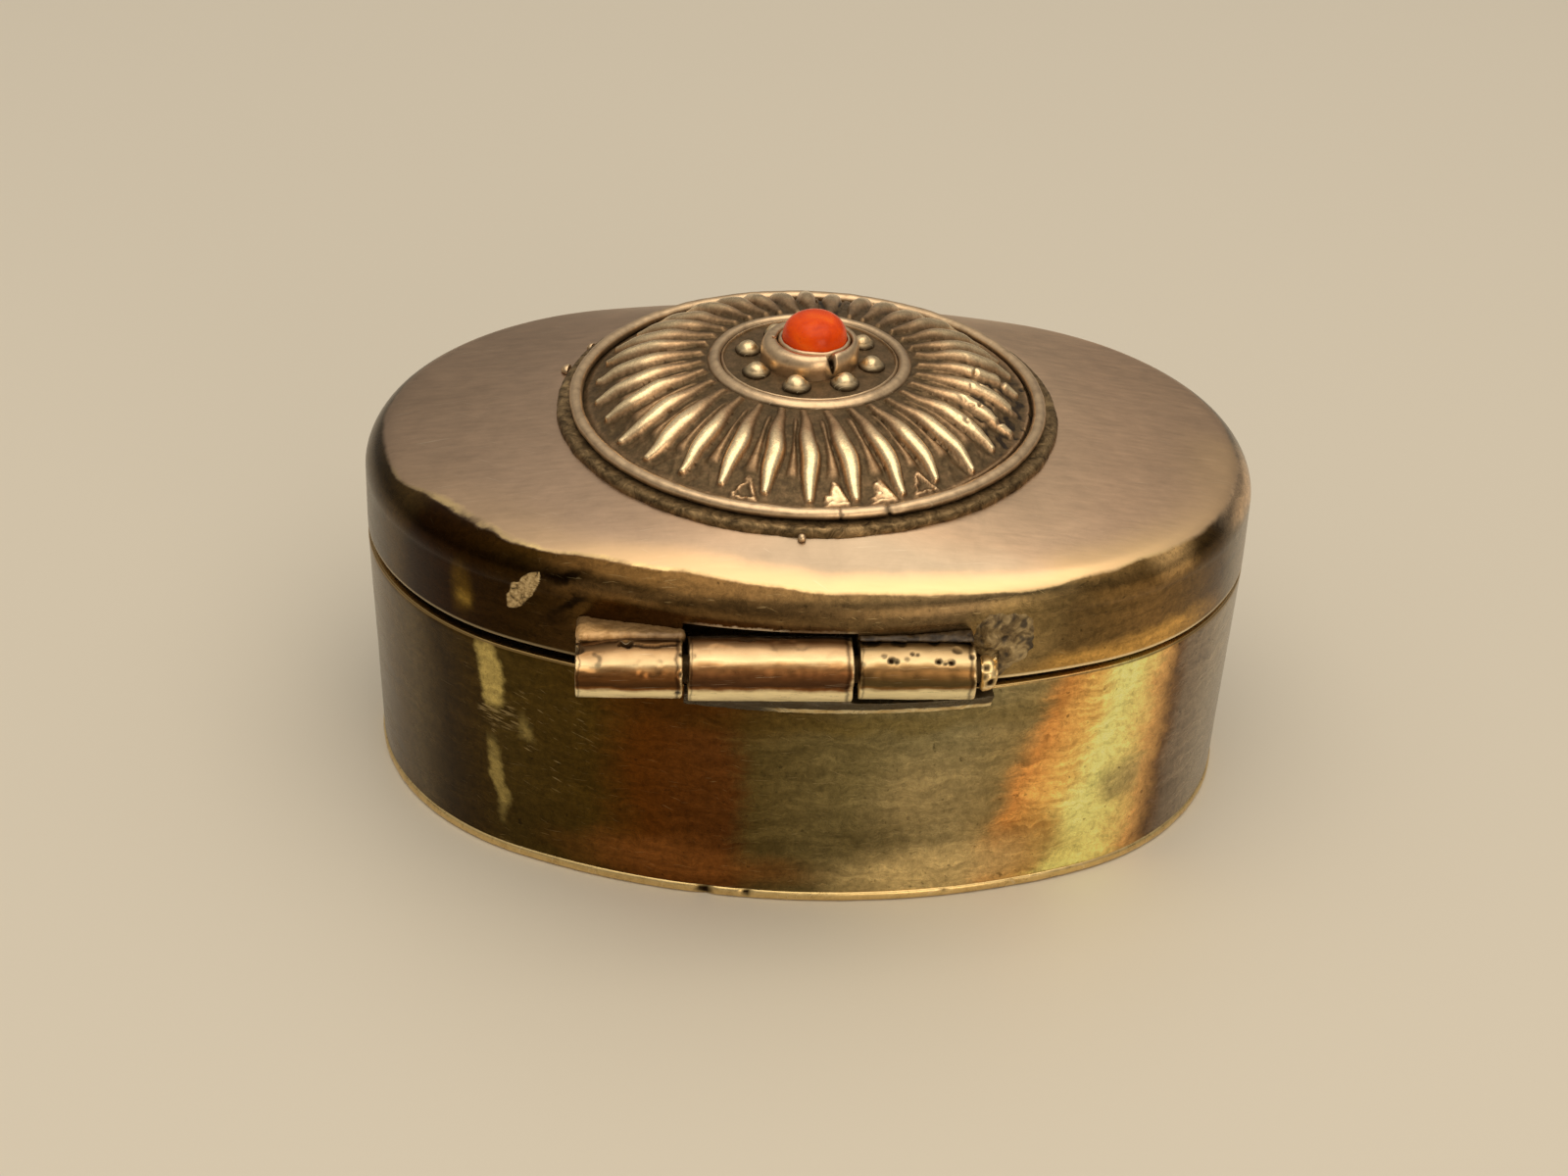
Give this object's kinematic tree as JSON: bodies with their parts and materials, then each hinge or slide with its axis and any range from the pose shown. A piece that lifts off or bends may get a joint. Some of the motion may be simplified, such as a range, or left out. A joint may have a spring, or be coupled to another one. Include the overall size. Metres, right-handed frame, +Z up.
{
  "type": "oval hinged box",
  "caption": "Small oval silver box with a hinged domed lid, a three-part tube hinge and a round rayed medallion set with a coral stone.",
  "frame": {"origin": "middle of the underside, on the surface the box stands on", "axes": "+X along the long axis, hinge on the -Y side, +Z up through the medallion"},
  "size_m": [0.055, 0.0418, 0.0299],
  "materials": {
    "polished_silver": "worn polish with fine scratches",
    "satin_silver": "soft satin, finely scratched",
    "oxidised_silver": "dark brown tarnish in the recesses, ridges worn bright",
    "solder": "rough and pitted",
    "coral": "polished"
  },
  "bodies": {
    "body": {"base_plate": "polished_silver", "body_wall": "polished_silver", "hinge_bearer": "polished_silver", "middle_knuckle": "polished_silver", "hinge_pin": "polished_silver"},
    "lid": {"lid_shell": "satin_silver", "left_knuckle": "polished_silver", "right_knuckle": "polished_silver", "left_saddle": "solder", "right_saddle": "solder", "solder_patch": "solder", "medallion_plate": "oxidised_silver", "rim_wire": "polished_silver", "medallion_dome": "oxidised_silver", "inner_ring": "polished_silver", "granules": "polished_silver", "bezel_collar": "polished_silver", "bezel_lip": "polished_silver", "coral": "coral", "solder_beads": "solder"}
  },
  "joints": [
    {"name": "lid_hinge", "type": "hinge", "parent": "body", "child": "lid", "pos_m": [0, -0.02, 0.0172], "axis": [0.9986, 0.0523, 0], "range_deg": [0, 110]}
  ]
}
